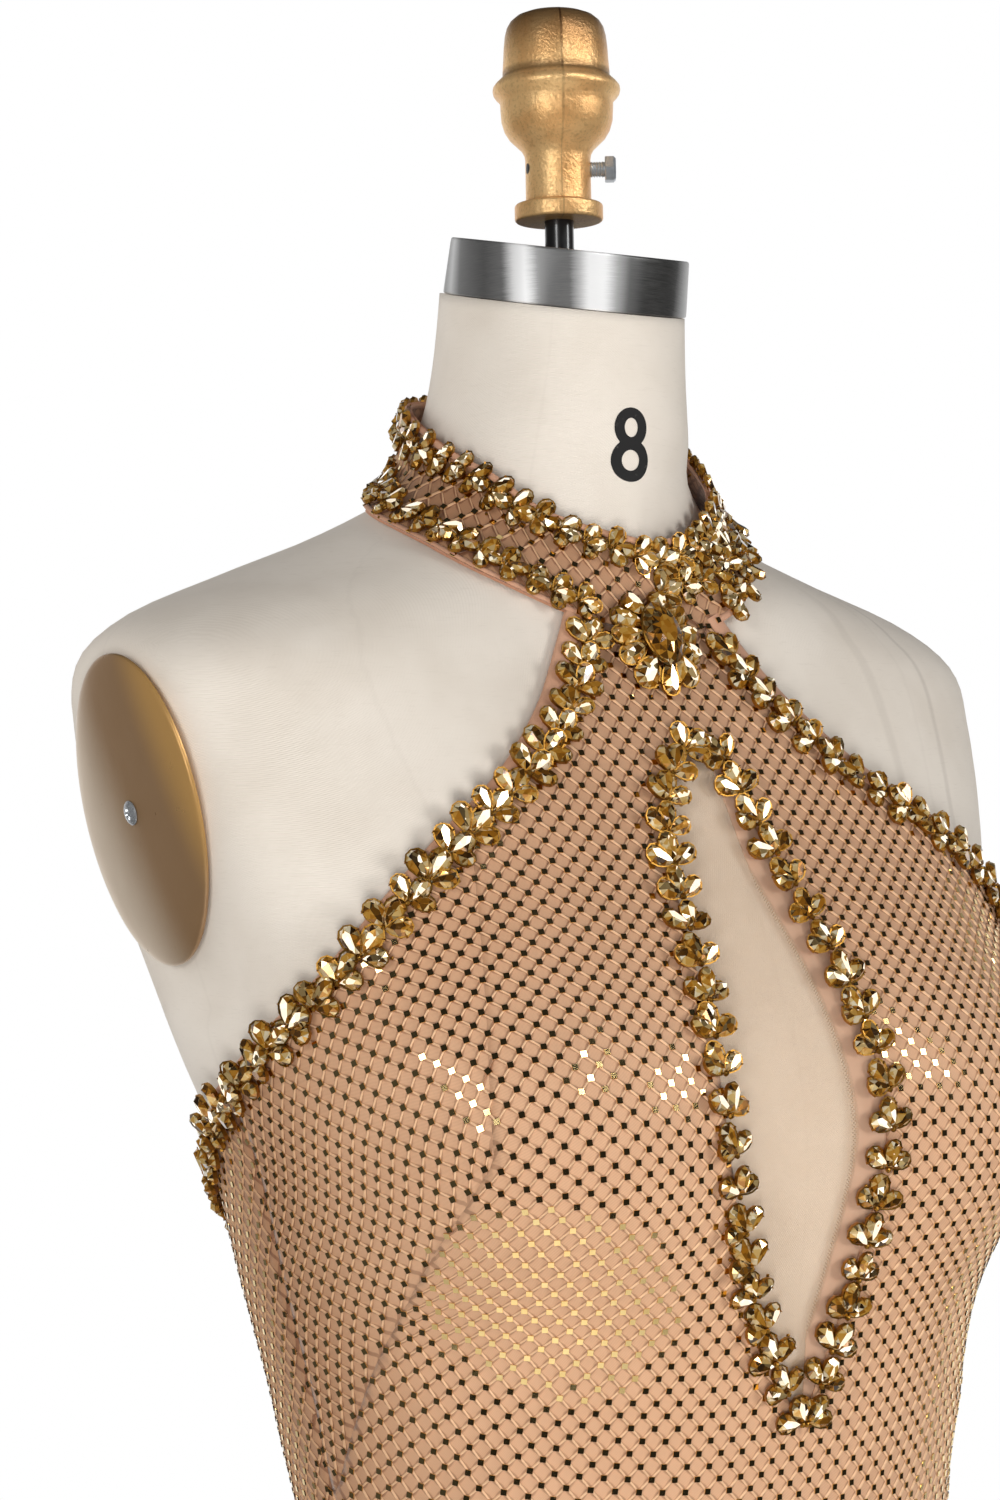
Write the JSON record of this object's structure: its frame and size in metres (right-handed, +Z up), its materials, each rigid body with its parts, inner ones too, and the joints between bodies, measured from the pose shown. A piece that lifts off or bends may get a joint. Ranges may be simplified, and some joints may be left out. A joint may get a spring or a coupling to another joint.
{
  "type": "evening gown on a limbless dress form",
  "caption": "Floor-length halter evening gown in nude mirror-dotted net with a stone-edged collar, armholes and keyhole front, on a limbless canvas dress form with a plain stand.",
  "frame": {"origin": "centre of the stand's flat underside, on the floor under the pole's axis", "axes": "+Z up along the pole, -Y the way the gown's front faces, +X towards the wearer's left"},
  "size_m": [0.5695, 0.5318, 1.6385],
  "materials": {
    "canvas": "matt, smooth off-white linen canvas stretched over the form",
    "brushed_steel": "brushed round the neck",
    "bright_steel": "zinc-plated fasteners",
    "dark_steel": "satin black",
    "gold_paint": "satin gold bronze paint over a cast skin",
    "mirror_net": "nude mesh under a raised net with small gold mirror squares",
    "sheer_net": "fine sheer nude net",
    "nude_binding": "plain nude jersey fold",
    "crystals": "champagne and gold faceted stones in gold claw settings"
  },
  "bodies": {
    "root": {"form_body": "canvas", "neck_ring": "brushed_steel", "neck_plate": "dark_steel", "arm_plate_right": "gold_paint", "arm_plate_screw_right": "bright_steel", "arm_plate_left": "gold_paint", "arm_plate_screw_left": "bright_steel", "finial": "gold_paint", "neck_post": "dark_steel", "finial_set_bolt": "bright_steel", "stand_base": "dark_steel", "stand_pole": "dark_steel", "stand_flange": "dark_steel", "gown_front": "mirror_net", "gown_keyhole_net": "sheer_net", "gown_back_right": "mirror_net", "gown_back_left": "mirror_net", "gown_collar": "mirror_net", "collar_hook_upper": "bright_steel", "collar_hook_lower": "bright_steel", "binding_right": "nude_binding", "trim_armhole_right": "crystals", "binding_left": "nude_binding", "trim_armhole_left": "crystals", "trim_collar_upper": "crystals", "trim_collar_lower_right": "crystals", "trim_collar_lower_left": "crystals", "trim_keyhole_right": "crystals", "trim_keyhole_left": "crystals", "brooch": "crystals"}
  },
  "joints": []
}
